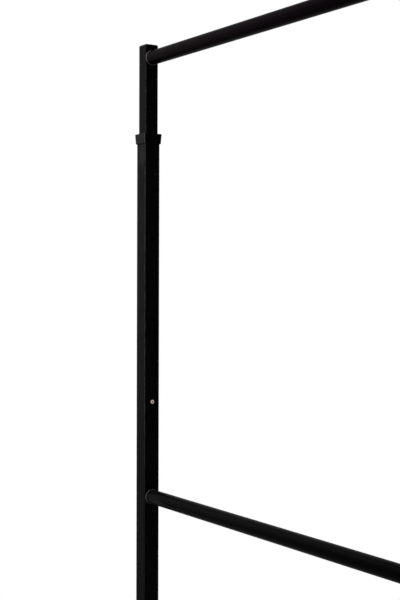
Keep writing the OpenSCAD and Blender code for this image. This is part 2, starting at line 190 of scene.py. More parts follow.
class ShapeSettings(PropertyGroup):
    """Sizes of the modelled pieces that the construction model leaves plain."""

    post_wall: a_length("Outer wall", "Wall of the outer tubes and the foot tubes", 0.8, 3, 1.2)
    post_corner: a_length("Outer corner", "Outside corner radius of the outer tubes", 1, 5, 2.5)
    inner_wall: a_length("Inner wall", "Wall of the inner tubes", 0.8, 3, 1.2)
    inner_corner: a_length("Inner corner", "Outside corner radius of the inner tubes", 1, 5, 2.0)
    seat_gap: a_length("Seat gap", "Gap between pieces that are pushed together", 0, 0.3, 0.1)
    run_gap: a_length("Running gap", "Gap between pieces that slide on each other", 0, 0.5, 0.3)
    skirt_height: a_length("Skirt height", "Height of a collar's flared skirt", 8, 40, 17.5)
    skirt_thickness: a_length(
        "Skirt thickness", "Thickness of a collar's skirt above its lower chamfer", 0.5, 3, 1.9)
    skirt_chamfer: a_length(
        "Skirt chamfer", "Height and depth of the chamfer under a collar's skirt", 0.3, 2, 0.8)
    skirt_corner: a_length("Skirt corner", "Corner radius of a collar's skirt", 1, 6, 3)
    collar_edge: a_length("Collar edge", "Rounding of a collar's upper edge", 0.3, 2, 0.6)
    moulded_edge: a_length(
        "Moulded edge", "Rounding of the moulded pieces' fine edges", 0.1, 0.5, 0.25)
    cap_edge: a_length("Cap edge", "Rounding of the top caps' upper edge", 0.5, 3, 2.2)
    foot_cap_edge: a_length("Foot cap edge", "Rounding of the foot caps' outer edge", 0.5, 3, 1.2)
    cap_crown: a_length("Cap crown", "How far a cap's middle stands above its edge", 0, 1.5, 0.4)
    barbs: IntProperty(
        name="Barbs", description="Barbed ribs on the shank of a push-in cap", min=2, max=8, default=4)
    barb_reach: a_length("Barb reach", "How far the barbs stand out of the shank", 0.5, 3, 1.3)
    groove_depth: a_length(
        "Sole grooves", "Depth of the ring grooves in a glide's sole", 0.2, 1.5, 0.7)
    strip_thickness: a_length(
        "Spring strip", "Thickness of the strip behind each snap button", 0.3, 1, 0.6)
    strip_end: a_length("Strip end", "Corner radius at the ends of a spring strip", 0.5, 4, 2.5)
    fold_radius: a_length(
        "Spring fold", "Radius of the hairpin fold, to the middle of the strip", 1, 5, 3)


class StageSettings(PropertyGroup):
    """Camera, lamps and floor."""

    camera_place: FloatVectorProperty(
        name="Camera", description="Where the camera stands",
        subtype="TRANSLATION", unit="LENGTH", size=3, default=(1.0335, -1.0396, 1.0867))
    camera_yaw: an_angle("Yaw", "How far the view turns from -X towards +Y", 32.79)
    camera_pitch: an_angle("Pitch", "How far the view looks down", 0.99)
    camera_roll: an_angle("Roll", "How far the camera leans", 0.18)
    camera_lens: FloatProperty(
        name="Focal length", description="Focal length for a 36 mm high picture",
        unit="CAMERA", min=10, max=200, default=70.05)
    floor_radius: a_length("Floor radius", "Radius of the round floor", 2000, 20000, 6000)
    floor_fade_from: a_length(
        "Floor fades from", "Distance at which the floor starts to fade into the backdrop",
        500, 10000, 1300)
    floor_fade_to: a_length(
        "Floor fades to", "Distance at which the floor looks like the backdrop", 600, 12000, 2400)
    floor_colour: a_colour("Floor", "the pale floor", (0.55, 0.55, 0.545))
    floor_glow: a_share(
        "Floor white", "White that the camera sees on top of the floor's own light", 0.66)
    ambient: a_share("Ambient", "Strength of the even light from the room", 0.04)
    side_power: a_power("Side light", "Power of the tall soft box at the left", 8.0)
    key_power: a_power("Key light", "Power of the soft box above and in front", 33.0)
    back_power: a_power("Back light", "Power of the soft box behind the stand", 60.0)


# ---------------- surfaces


def grid_faces(rows, columns, loop):
    """Quads of a grid of points whose columns run round a closed ring. With loop, the last row
    joins the first one too."""
    first = np.arange(rows if loop else rows - 1)
    i, j = np.meshgrid(first, np.arange(columns), indexing="ij")
    up, on = (i + 1) % rows, (j + 1) % columns
    corners = (i * columns + j, i * columns + on, up * columns + on, up * columns + j)
    return np.stack(corners, axis=-1).reshape(-1, 4)


def closed_shell(rings, loop=False):
    """Points and faces of a closed surface through a stack of rings, an array of rows by columns
    by 3. With loop the rows close on themselves, as in a washer. Otherwise the middle of the
    first and of the last ring becomes a pole with a fan of triangles."""
    rows, columns = rings.shape[:2]
    points = rings.reshape(-1, 3)
    faces = grid_faces(rows, columns, loop).tolist()
    if loop:
        return points, faces
    poles = rings[[0, -1]].mean(axis=1)
    j = np.arange(columns)
    on = (j + 1) % columns
    base, top = rows * columns, (rows - 1) * columns
    start = np.stack([np.full(columns, base), on, j], axis=1)
    end = np.stack([np.full(columns, base + 1), top + j, top + on], axis=1)
    return np.concatenate([points, poles]), faces + start.tolist() + end.tolist()


def directions(sides):
    """Angles of evenly spread directions round an axis."""
    return np.linspace(0, 2 * np.pi, sides, endpoint=False)


def round_rings(rows, sides):
    """A lathe surface: every (radius, height) is carried round the Z axis, and a point is
    (r cos a, r sin a, z). A row's radius may also be an array with a value for each direction."""
    radius, z = (np.array([np.broadcast_to(v, sides) for v in column]) for column in zip(*rows))
    a = directions(sides)
    return np.stack((radius * np.cos(a), radius * np.sin(a), z), axis=-1)


def square_rings(profile, flat):
    """A square 'lathe' surface: every (half width, height) of the profile is carried round a
    square with straight sides of twice flat, one value for each row. What a side lacks to the full
    width is the corner's radius: a point is the corner's centre, at (flat, flat), plus that radius
    along a direction that turns a quarter at each corner."""
    corner_steps = 5
    half, height = profile.T[:, :, None]
    flat = flat[:, None]
    quarter = np.linspace(0, np.pi / 2, corner_steps + 1)
    turns = np.repeat(np.arange(4), corner_steps + 1) * np.pi / 2
    a = np.tile(quarter, 4) + turns
    x = np.sign(np.cos(turns + np.pi / 4)) * flat + (half - flat) * np.cos(a)
    y = np.sign(np.sin(turns + np.pi / 4)) * flat + (half - flat) * np.sin(a)
    return np.stack(np.broadcast_arrays(x, y, height), axis=-1)


def hexagon(flats):
    """Radius of a hexagon in every direction: half its width across the flats, over the cosine of
    the angle to the nearest flat's middle."""
    a = directions(TURNED_SIDES)
    return flats / 2 / np.cos((a + np.pi / 6) % (np.pi / 3) - np.pi / 6)


def along(rings, axis, origin):
    """Turns rings built round +Z so that their axis points along one of the frame's axes, and
    moves them to the origin given. Each turn is a cyclic change of axes or a half turn, so the
    faces stay outwards."""
    x, y, z = np.moveaxis(rings, -1, 0)
    turned = {
        "+Z": (x, y, z), "-Z": (x, -y, -z),
        "+X": (z, x, y), "-X": (-z, -x, y),
        "+Y": (y, z, x), "-Y": (-y, -z, x),
    }[axis]
    return np.stack(turned, axis=-1) + origin


def outline(corners, closed=False, steps=4):
    """Points along straight lines through corners, each (across, up, radius). An arc that touches
    both lines replaces each corner with a radius; its centre lies on their bisector."""
    places, points = np.array(corners, float)[:, :2], []
    for k, here in enumerate(places):
        radius = corners[k][2]
        if radius == 0 or (not closed and k in (0, len(places) - 1)):
            points.append(here[None])
            continue
        before, after = places[k - 1] - here, places[(k + 1) % len(places)] - here
        before, after = before / np.linalg.norm(before), after / np.linalg.norm(after)
        half = np.arccos(np.clip(before @ after, -1, 1)) / 2
        bisector = (before + after) / np.linalg.norm(before + after)
        centre = here + bisector * radius / np.sin(half)
        start, end = here + before * radius / np.tan(half), here + after * radius / np.tan(half)
        first, last = (np.arctan2(*(p - centre)[::-1]) for p in (start, end))
        turn = (last - first + np.pi) % (2 * np.pi) - np.pi
        a = first + turn * np.linspace(0, 1, steps + 1)
        points.append(centre + radius * np.stack((np.cos(a), np.sin(a)), axis=1))
    return np.concatenate(points)


def on_side(points, side):
    """Moves points from the left upright's frame, with x = 0 on its axis and +X towards the other
    upright, to either upright. The right one is the left one after half a turn round Z."""
    moved = points + (POST_X, 0, 0)
    return moved if side == "left" else moved * (-1, -1, 1)


def shells_on_side(shells, side):
    """The same for closed shells, each its points and faces."""
    return [(on_side(points, side), faces) for points, faces in shells]


def make_piece(name, shells, material, body, node):
    """Joins closed shells in one mesh that sits at the origin, gives it its finish, sets it on
    its body and hides the construction node that it stands for."""
    points, faces, count = [], [], 0
    for shell_points, shell_faces in shells:
        points.append(shell_points)
        faces += [[count + v for v in face] for face in shell_faces]
        count += len(shell_points)
    mesh = bpy.data.meshes.new(name)
    mesh.from_pydata(np.concatenate(points).tolist(), [], faces)
    mesh.validate()
    mesh.shade_smooth()
    mesh.set_sharp_from_angle(angle=SHARP_ANGLE)
    mesh.materials.append(material)
    piece = bpy.data.objects.new(name, mesh)
    bpy.context.scene.collection.objects.link(piece)
    flats = piece.modifiers.new("flat_faces_stay_flat", "WEIGHTED_NORMAL")
    flats.keep_sharp = True
    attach(piece, body)
    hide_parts(node)
    return piece


# ---------------- finishes


class Shading:
    """A node tree under construction, of a material or of the world."""

    def __init__(self, owner):
        owner.use_nodes = True
        self.tree = owner.node_tree

    def feed(self, socket, value):
        """Joins an output to a socket, or sets the socket to a plain value or a solid colour."""
        if isinstance(value, bpy.types.NodeSocket):
            self.tree.links.new(value, socket)
        else:
            socket.default_value = (*value, 1.0) if socket.type == "RGBA" else value

    def fill(self, node, **values):
        """Sets a node's properties, whose names are in lower case, and feeds its sockets, whose
        names have capitals and underscores for spaces. Gives the node back."""
        for key, value in values.items():
            if key.islower():
                setattr(node, key, value)
            else:
                self.feed(node.inputs[key.replace("_", " ")], value)
        return node

    def node(self, kind, **values):
        """Adds a shader node and fills it."""
        return self.fill(self.tree.nodes.new(kind), **values)

    def maths(self, operation, *values, kind="ShaderNodeMath"):
        """One arithmetic step."""
        made = self.node(kind, operation=operation)
        for socket, value in zip(made.inputs, values):
            self.feed(socket, value)
        return made.outputs["Value"]

    def seen_directly(self):
        """1 for camera, glossy and transmission rays, so that the eye, metal and glass all see the
        backdrop, and 0 for the rays that light the stand."""
        path = self.node("ShaderNodeLightPath").outputs
        seen = self.maths("MAXIMUM", path["Is Camera Ray"], path["Is Glossy Ray"])
        return self.maths("MAXIMUM", seen, path["Is Transmission Ray"])

    def mix_shaders(self, share, first, second):
        """A shader between two others."""
        mix = self.node("ShaderNodeMixShader")
        for socket, value in zip(mix.inputs, (share, first, second)):
            self.feed(socket, value)
        return mix.outputs[0]


class Finish(Shading):
    """A material under construction, with patterns that read Object coordinates."""

    def __init__(self, name):
        self.material = bpy.data.materials.new(name)
        super().__init__(self.material)
        self.shader = self.tree.nodes["Principled BSDF"]
        self.place = self.node("ShaderNodeTexCoord").outputs["Object"]

    def mapped(self, scale=(1, 1, 1), shift=(0, 0, 0)):
        """Object coordinates, stretched and moved."""
        made = self.node("ShaderNodeMapping", Vector=self.place, Scale=scale, Location=shift)
        return made.outputs["Vector"]

    def noise(self, scale, detail=2.0, rough=0.5, place=None):
        """Smooth noise with this many waves to a metre."""
        return self.node(
            "ShaderNodeTexNoise", Vector=place or self.place, Scale=scale, Detail=detail,
            Roughness=rough).outputs["Fac"]

    def ranged(self, value, low, high, to_low=0.0, to_high=1.0):
        """Spreads a value between two limits over another range, with soft ends."""
        return self.node(
            "ShaderNodeMapRange", interpolation_type="SMOOTHSTEP", Value=value, From_Min=low,
            From_Max=high, To_Min=to_low, To_Max=to_high).outputs["Result"]

    def spread(self, pattern, low=0.0, high=1.0):
        """Spreads a noise, which lies mostly between 0.3 and 0.7, over another range."""
        return self.ranged(pattern, 0.3, 0.7, low, high)

    def distance(self, place, middle=(0, 0, 0)):
        """How far a place is from a point."""
        return self.maths("DISTANCE", place, middle, kind="ShaderNodeVectorMath")

    def split(self, vector):
        """The X, Y and Z of a vector."""
        return self.node("ShaderNodeSeparateXYZ", Vector=vector).outputs

    def apart(self, value, number):
        """How far a value is from a number, on either side."""
        return self.maths("ABSOLUTE", self.maths("SUBTRACT", value, number))

    def from_post(self):
        """Distance in X from the axis of the nearer upright."""
        return self.apart(self.maths("ABSOLUTE", self.split(self.place)["X"]), abs(POST_X))

    def looking(self, axis):
        """How far a face looks along an axis: 1 straight along it and -1 straight against it."""
        return self.split(self.node("ShaderNodeNewGeometry").outputs["Normal"])[axis]

    def mixed(self, share, first, second):
        """A colour between two others."""
        made = self.node("ShaderNodeMix", data_type="RGBA", Factor=share)
        for name, colour in (("A_Color", first), ("B_Color", second)):
            self.feed(next(s for s in made.inputs if s.identifier == name), colour)
        return next(s for s in made.outputs if s.identifier == "Result_Color")

    def cloudy(self, pattern, colour, share):
        """A colour that a noise darkens in places, down to this share of it."""
        return self.mixed(self.spread(pattern), [share * c for c in colour], colour)

    def done(self, height, depth, **values):
        """Feeds the shader, with bumps of this depth in metres, and gives the material."""
        bump = self.node("ShaderNodeBump", Height=height, Distance=depth)
        self.fill(self.shader, Normal=bump.outputs["Normal"], **values)
        return self.material


def corner_highlight_band(coat, half, radius, across, middle=0.0, fades=()):
    """Where a highlight is painted along the rounded corners of a square tube: 1 on the corners and 0
    on its flats. A point is on a corner where it is further from the tube's middle than the flats'
    half width, both in X and along the section's second axis. The band leans to the side that looks
    along that axis. fades are two heights and the band's strength at each."""
    parts = coat.split(coat.place)
    band = coat.maths(
        "MINIMUM",
        coat.ranged(coat.from_post(), half - 0.8 * radius, half - 0.5 * radius),
        coat.ranged(coat.apart(parts[across], middle), half - 0.5 * radius, half - 0.25 * radius))
    if fades:
        band = coat.maths("MULTIPLY", band, coat.ranged(parts["Z"], *fades))
    return band


def hole_edge_highlight(coat):
    """1 in a highlight painted on the left post's coat, just behind the highest adjusting hole: where
    the distance from the highlight's middle, made uneven by a noise, is less than its radius."""
    hole_z = node_middle("left_button")[2] + joint_reach("height_slide")
    middle = (POST_HIGH[0], HOLE_RADIUS + 0.2 * MM, hole_z + 0.8 * MM)
    radius, soft_edge, unevenness = 1.2 * MM, 0.1 * MM, 0.8 * MM
    ragged = coat.maths("MULTIPLY", coat.noise(900, detail=3), unevenness)
    distance = coat.maths("ADD", coat.distance(coat.place, middle), ragged)
    return coat.ranged(distance, radius + soft_edge, radius - soft_edge)


def painted_highlight_patch(coat, middle, reach, strength):
    """A painted highlight patch: its strength in the middle and 0 at its edge. The edge is where the
    distance from the middle, over the reach in X, Y and Z, is 1."""
    middle, reach = np.array(middle), np.array(reach)
    distance = coat.distance(coat.mapped(tuple(1 / reach), tuple(-middle / reach)))
    return coat.ranged(distance, 1.0, 0.3, 0.0, strength)


def powder_coat(
        finish, name, colour, gloss_level, rough=(0.36, 0.46),
        corners=None, highlight_patch=None, slides=False, with_hole_highlight=False):
    """Semi-matt black powder coat: orange peel, cloudy gloss and a little dust on top. A highlight is
    painted along the corners of a square tube, a tube that slides has fine marks along its length, a
    highlight patch can be painted on, and a highlight is painted beside the left outer post's highest
    adjusting hole."""
    coat = Finish(f"powder_coat_{name}")
    clouds = coat.noise(14, detail=4)
    speckle = coat.ranged(coat.noise(700, detail=1), 0.35, 0.75)
    shade = coat.mixed(speckle, colour, [1.45 * c for c in colour])
    upward = coat.ranged(coat.looking("Z"), 0.35, 1.0)
    settled = coat.maths("MULTIPLY", upward, coat.spread(clouds, 0.25, 0.7))
    shade = coat.mixed(settled, shade, finish.dust)
    gloss = coat.ranged(clouds, 0.25, 0.75, *rough)
    # A highlight is painted along the tube's corners, broken up by a noise.
    if corners:
        highlight_breaks = coat.spread(coat.noise(60, detail=4, rough=0.7), 0.35, 1.0)
        corner_highlight = coat.maths("MULTIPLY", corner_highlight_band(coat, *corners), highlight_breaks)
        shade = coat.mixed(corner_highlight, shade, finish.painted_highlight)
    if slides:
        marks = coat.noise(1.0, detail=3, rough=0.7, place=coat.mapped((1300, 1300, 5)))
        rubbed = coat.ranged(marks, 0.56, 0.72, 0.0, 0.35)
        shade = coat.mixed(rubbed, shade, finish.dust)
        gloss = coat.maths("SUBTRACT", gloss, coat.maths("MULTIPLY", rubbed, 0.25))
    # A highlight patch is painted on the coat.
    if highlight_patch:
        shade = coat.mixed(painted_highlight_patch(coat, *highlight_patch), shade, finish.painted_highlight)
    # A highlight is painted beside the highest adjusting hole.
    if with_hole_highlight:
        shade = coat.mixed(hole_edge_highlight(coat), shade, finish.hole_highlight_colour)
    return coat.done(
        coat.noise(1 / finish.peel_size), finish.peel_depth,
        Base_Color=shade, Roughness=gloss, Specular_IOR_Level=gloss_level)


def satin_flange(finish):
    """The plugs' flanges: a smooth dark grey casting with a fine satin grain."""
    casting = Finish("satin_flange")
    grain = casting.noise(900)
    return casting.done(
        grain, 0.004 * MM, Base_Color=casting.cloudy(grain, finish.flange, 0.8),
        Roughness=casting.spread(grain, 0.3, 0.42), Specular_IOR_Level=0.03)


def collar_corner_highlight(nylon):
    """1 on the front and back sides of a flared collar's rounded corners, where a highlight is
    painted: where the distances from the post's axis in X and in Y are nearly the same, whatever the
    flare's width there."""
    from_middle = nylon.maths("ABSOLUTE", nylon.split(nylon.place)["Y"])
    share = nylon.maths("DIVIDE", nylon.from_post(), from_middle)
    return nylon.maths("MINIMUM", nylon.ranged(share, 0.86, 0.93), nylon.ranged(share, 1.05, 0.97))


def moulded_plastic(finish, rubbed=False):
    """Black nylon with the fine grain of an etched mould. A collar gets painted shade on its sides
    that look along the bars, and a painted highlight on its corners."""
    nylon = Finish("moulded_plastic")
    grain = nylon.noise(1 / finish.grain_size, detail=3, rough=0.6)
    shade = nylon.cloudy(nylon.noise(30, detail=3), finish.plastic, 0.8)
    # The collar gets painted shade on its sides along the bars and a painted highlight on its corners.
    if rubbed:
        shaded_sides = nylon.ranged(nylon.maths("ABSOLUTE", nylon.looking("X")), 0.6, 0.8)
        shade = nylon.mixed(shaded_sides, shade, finish.shaded_side_plastic)
        shade = nylon.mixed(collar_corner_highlight(nylon), shade, finish.painted_highlight)
    return nylon.done(
        grain, finish.grain_depth, Base_Color=shade,
        Roughness=nylon.spread(grain, 0.38, 0.5), Specular_IOR_Level=0.007)


def glide_rubber(finish):
    """Matt black rubber, greyed by the floor towards its sole."""
    rubber = Finish("glide_rubber")
    scuffs = rubber.noise(220, detail=5, rough=0.65)
    near_floor = rubber.ranged(rubber.split(rubber.place)["Z"], 4 * MM, 0.0)
    greyed = rubber.maths("MULTIPLY", near_floor, rubber.ranged(scuffs, 0.4, 0.65))
    return rubber.done(
        scuffs, 0.03 * MM, Base_Color=rubber.mixed(greyed, finish.rubber, finish.dust),
        Roughness=rubber.spread(scuffs, 0.7, 0.9), Specular_IOR_Level=0.05)


def zinc_plate(finish):
    """Zinc plate: fine turning lines round the bolts' axes, and a faint cloudy passivation."""
    zinc = Finish("zinc_plate")
    lines = zinc.noise(1.0, place=zinc.mapped((9000, 500, 500)))
    return zinc.done(
        lines, 0.004 * MM, Base_Color=zinc.cloudy(zinc.noise(160, detail=4), finish.zinc, 0.72),
        Metallic=1.0, Roughness=zinc.spread(lines, 0.28, 0.42))


def turned_steel(finish, side):
    """Bright turned steel for one snap button: rings of the turning tool round the button's axis, a
    dark, dull spot at its tip, and painted shade round the tip's edge."""
    steel = Finish(f"{side}_button_steel")
    axis_z = node_middle(f"{side}_button")[2]
    from_axis = steel.distance(steel.mapped((0, 1, 1), (0, 0, -axis_z)))
    ring_width = 0.18 * MM
    rings = steel.maths("SINE", steel.maths("MULTIPLY", from_axis, 2 * math.pi / ring_width))
    # A dark, dull spot at the tip.
    dimple = steel.ranged(from_axis, 1.8 * MM, 1.5 * MM)
    # Painted shade round the tip's edge.
    edge = steel.ranged(from_axis, 2.9 * MM, 3.5 * MM)
    dark_tip_and_shade_mask = steel.maths("MAXIMUM", dimple, edge)
    return steel.done(
        rings, 0.0008 * MM, Base_Color=steel.mixed(dark_tip_and_shade_mask, finish.bright_steel, finish.dark_tip_and_shade),
        Metallic=steel.maths("SUBTRACT", 1.0, dark_tip_and_shade_mask),
        Roughness=steel.ranged(rings, -1, 1, 0.26, 0.34))


def strip_steel(finish):
    """Tempered spring strip: rolling lines along the strip and a warm, uneven temper."""
    strip = Finish("strip_steel")
    rolled = strip.noise(1.0, detail=3, place=strip.mapped((60, 5000, 60)))
    temper = strip.ranged(strip.noise(120), 0.35, 0.7, 0.0, 0.6)
    straw = (0.30, 0.24, 0.17)
    return strip.done(
        rolled, 0.003 * MM, Base_Color=strip.mixed(temper, finish.spring_steel, straw),
        Metallic=1.0, Roughness=strip.spread(rolled, 0.25, 0.4))


def finish_nodes(material, *nodes):
    """Puts a finish on construction nodes, in their own material slots."""
    for name in nodes:
        for slot in frame["nodes"][name].material_slots:
            slot.material = material


class KIMONO_OT_coat_tubes(Operator):
    """Powder-coats the tubes, bars and spigots, and gives the end plugs a satin flange finish"""

    bl_idname = "kimono_stand.coat_tubes"
    bl_label = "Coat the tubes"

    def execute(self, context):
        finish, shape = context.scene.kimono_finish, context.scene.kimono_shape
        # The corners with a painted highlight: half width, radius, the section's second axis and the
        # middle along it. The uprights' painted highlight also has two heights, and its strength at
        # each.
        top = INNER_HIGH[2]
        outer = (POST_HALF, shape.post_corner, "Y", 0.0, (0.70, 0.84, 0.3, 1.0))
        inner = (INNER_HALF, shape.inner_corner, "Y", 0.0, (top, top - 60 * MM, 0.15, 0.65))
        foot = (POST_HALF, shape.post_corner, "Z", FOOT_AXIS_Z)
        # The painted highlight patches: middle, reach along X, Y and Z, and strength.
        highlight_under_collar = (
            (POST_X + 3 * MM, -POST_HALF, POST_HIGH[2] - 35 * MM), (15 * MM, 15 * MM, 32 * MM), 0.11)
        low, high = node_box("lower_bar")
        bar_radius, bar_z = (high[2] - low[2]) / 2, (low[2] + high[2]) / 2
        bar_end_highlight = (
            (POST_HIGH[0] + 30 * MM, -bar_radius, bar_z - 9 * MM), (42 * MM, 20 * MM, 17 * MM), 0.13)
        smooth = (0.26, 0.34)
        bar_coat = powder_coat(
            finish, "lower_bar", finish.bar_paint, finish.bar_gloss, smooth, highlight_patch=bar_end_highlight)
        top_coat = powder_coat(
            finish, "top_bar", finish.top_bar_paint, finish.top_bar_gloss, smooth)
        gloss = finish.post_gloss
        # The outer posts get a painted highlight along their corners, and the left one also under its
        # collar and beside its highest hole.
        post_coat = powder_coat(
            finish, "posts", finish.paint, gloss, corners=outer, highlight_patch=highlight_under_collar, with_hole_highlight=True)
        inner_coat = powder_coat(
            finish, "rubbed", finish.inner_paint, gloss, corners=inner, slides=True)
        foot_coat = powder_coat(finish, "feet", finish.paint, gloss, corners=foot)
        flange = satin_flange(finish)
        finish_nodes(bar_coat, "lower_bar")
        finish_nodes(top_coat, "top_bar")
        for side in SIDES:
            finish_nodes(post_coat, f"{side}_outer_post")
            finish_nodes(inner_coat, f"{side}_inner_post")
            finish_nodes(foot_coat, f"{side}_foot_bar")
            finish_nodes(bar_coat, f"{side}_foot_spigot")
            finish_nodes(flange, f"lower_bar_{side}_plug", f"top_bar_{side}_plug")
        return {"FINISHED"}


def collar_rings(shape):
    """A flared collar: a closed outline of sleeve, socket, skirt and rim carried round a rounded
    square. The straight sides are the inner tube's at the bore and the outer tube's at the
    socket, and leave the skirt's own corner radius outside."""
    low, high = node_box("left_collar")
    rim, top = POST_HIGH[2], high[2]
    foot = top - shape.skirt_height
    flare = (high[0] - low[0]) / 2
    skirt = POST_HALF + shape.skirt_thickness
    socket = POST_HALF + shape.seat_gap
    sleeve = POST_HALF - shape.post_wall - shape.seat_gap
    bore = INNER_HALF + shape.run_gap
    edge = shape.moulded_edge
    profile = outline([
        (sleeve, low[2], edge), (sleeve, rim, 0), (socket, rim, edge), (socket, foot, edge / 2),
        (skirt - shape.skirt_chamfer, foot, edge), (skirt, foot + shape.skirt_chamfer, edge),
        (flare, top, shape.collar_edge), (bore, top, edge), (bore, low[2], edge),
    ], closed=True)
    sides = POST_HALF - shape.post_corner
    reaches = (bore, sleeve, socket, skirt, flare)
    flats = (INNER_HALF - shape.inner_corner, sides, sides,
             skirt - shape.skirt_corner, flare - shape.skirt_corner)
    return square_rings(profile, np.interp(profile[:, 0], reaches, flats))


def cap_rings(shape, half, corner, wall, shank, head, rounding):
    """A push-in cap: a crowned head over a shank with barbed ribs, carried round a rounded square
    whose straight sides shrink with the width near the middle. The crown's height falls with the
    square of the distance from the middle."""
    barb = half - wall - shape.seat_gap
    core = barb - shape.barb_reach
    pitch = shank / shape.barbs
    corners = [(core, -shank, 0)]
    for rib in range(shape.barbs):
        foot = -shank + (rib + 0.25) * pitch
        corners += [(core, foot, 0), (barb, foot + 0.3 * pitch, 0),
                    (barb, foot + 0.45 * pitch, 0), (core, foot + 0.5 * pitch, 0)]
    edge = half - rounding
    corners += [(core, 0, 0), (half, 0, shape.moulded_edge / 2),
                (half, head - shape.cap_crown, rounding), (0, head - shape.cap_crown, 0)]
    across = edge * np.linspace(0.9, 0.1, 9)
    crown = np.stack((across, head - shape.cap_crown * (across / edge) ** 2), axis=1)
    profile = np.concatenate((outline(corners)[:-1], crown))
    return square_rings(profile, np.minimum(half - corner, 0.86 * profile[:, 0]))


def glide_rings(shape, radius, top):
    """A turned rubber glide: a grooved sole, a slightly waisted side under the foot tube and a
    barbed stem through its wall, carried round the Z axis."""
    body, groove = FOOT_LOW[2], shape.groove_depth
    stem, barb, lip = 3.8 * MM, 0.8 * MM, 0.1 * MM
    over_wall = body + shape.post_wall + shape.seat_gap
    corners = [(2 * MM, 0, 0)]
    for inner, outer in ((0.36 * radius, 0.44 * radius), (0.64 * radius, 0.72 * radius)):
        corners += [(inner, 0, lip), (inner, groove, 0), (outer, groove, 0), (outer, 0, lip)]
    corners += [
        (radius - 1 * MM, 0, 0.4 * MM), (radius, 1 * MM, 0.5 * MM),
        (radius - 1.4 * MM, 0.55 * body, 3 * MM), (radius - 1.5 * MM, body, 0.4 * MM),
        (stem, body, 0), (stem, over_wall, 0), (stem + barb, over_wall, 0.2 * MM),
        (stem - barb, top, 0.3 * MM), (0.5 * MM, top, 0),
    ]
    return round_rings(outline(corners), GLIDE_SIDES)


class KIMONO_OT_mould_collars(Operator):
    """Moulds the flared collars over the outer tubes' rims"""

    bl_idname = "kimono_stand.mould_collars"
    bl_label = "Mould the collars"

    def execute(self, context):
        # The collars' finish has painted shade on its sides along the bars and a painted highlight on
        # its corners.
        nylon = moulded_plastic(context.scene.kimono_finish, rubbed=True)
        collar = [closed_shell(collar_rings(context.scene.kimono_shape), loop=True)]
        for side in SIDES:
            make_piece(f"{side}_flared_collar", shells_on_side(collar, side), nylon,
                       "lower_frame", f"{side}_collar")
            finish_nodes(nylon, f"{side}_guide_plug")
        return {"FINISHED"}


class KIMONO_OT_mould_caps(Operator):
    """Moulds the caps on the inner posts and in the ends of the foot tubes"""

    bl_idname = "kimono_stand.mould_caps"
    bl_label = "Mould the caps"

    def execute(self, context):
        shape = context.scene.kimono_shape
        nylon = moulded_plastic(context.scene.kimono_finish)
        low, high = node_box("left_top_cap")
        top = cap_rings(shape, INNER_HALF, shape.inner_corner, shape.inner_wall,
                        INNER_HIGH[2] - low[2], high[2] - INNER_HIGH[2], shape.cap_edge)
        top = [closed_shell(along(top, "+Z", (0, 0, INNER_HIGH[2])))]
        foot_end = node_box("left_foot_end_caps")[1][1]
        end = cap_rings(shape, POST_HALF, shape.post_corner, shape.post_wall,
                        FOOT_CAP_SHANK, foot_end - FOOT_HIGH[1], shape.foot_cap_edge)
        ends = [closed_shell(along(end, axis, (0, y, FOOT_AXIS_Z)))
                for axis, y in (("+Y", FOOT_HIGH[1]), ("-Y", FOOT_LOW[1]))]
        for side in SIDES:
            make_piece(f"{side}_crowned_cap", shells_on_side(top, side), nylon,
                       "upper_frame", f"{side}_top_cap")
            make_piece(f"{side}_foot_caps", shells_on_side(ends, side), nylon,
                       "lower_frame", f"{side}_foot_end_caps")
        return {"FINISHED"}


class KIMONO_OT_mould_glides(Operator):
    """Moulds the rubber glides under the feet"""

    bl_idname = "kimono_stand.mould_glides"
    bl_label = "Mould the glides"

    def execute(self, context):
        rubber = glide_rubber(context.scene.kimono_finish)
        low, high = node_box("left_foot_glides")
        radius = (high[0] - low[0]) / 2
        rings = glide_rings(context.scene.kimono_shape, radius, high[2])
        glide_y = high[1] - radius
        pair = [closed_shell(along(rings, "+Z", (0, y, 0))) for y in (-glide_y, glide_y)]
        for side in SIDES:
            make_piece(f"{side}_rubber_glides", shells_on_side(pair, side), rubber,
                       "lower_frame", f"{side}_foot_glides")
        return {"FINISHED"}


def hairpin_path(shape, front, back, top, button_low, fold_low):
    """Middle line of a folded strip, in X and Z: straight down behind the button, on to a round
    fold, and up the far wall. Each leg touches the fold's circle where the radius is square to it:
    the angle there is the angle to the leg's end plus or minus arccos(radius / distance)."""
    radius = shape.fold_radius
    centre = np.array((back / 2, fold_low + shape.strip_thickness / 2 + radius))
    touches = []
    for end, turn in (((front, button_low), -1), ((back, top), 1)):
        to_end = np.array(end) - centre
        lean = np.arccos(radius / np.linalg.norm(to_end))
        touches.append(np.arctan2(to_end[1], to_end[0]) + turn * lean)
    a = np.linspace(touches[0], touches[1] - 2 * np.pi, 25)
    fold = centre + radius * np.stack((np.cos(a), np.sin(a)), axis=1)
    seat = np.stack((np.full(9, front), np.linspace(top, button_low, 9)), axis=1)
    leg_down = seat[-1] + (fold[0] - seat[-1]) * np.linspace(0, 1, 12)[1:-1, None]
    leg_up = fold[-1] + (np.array((back, top)) - fold[-1]) * np.linspace(0, 1, 21)[1:, None]
    return np.concatenate((seat, leg_down, fold, leg_up))


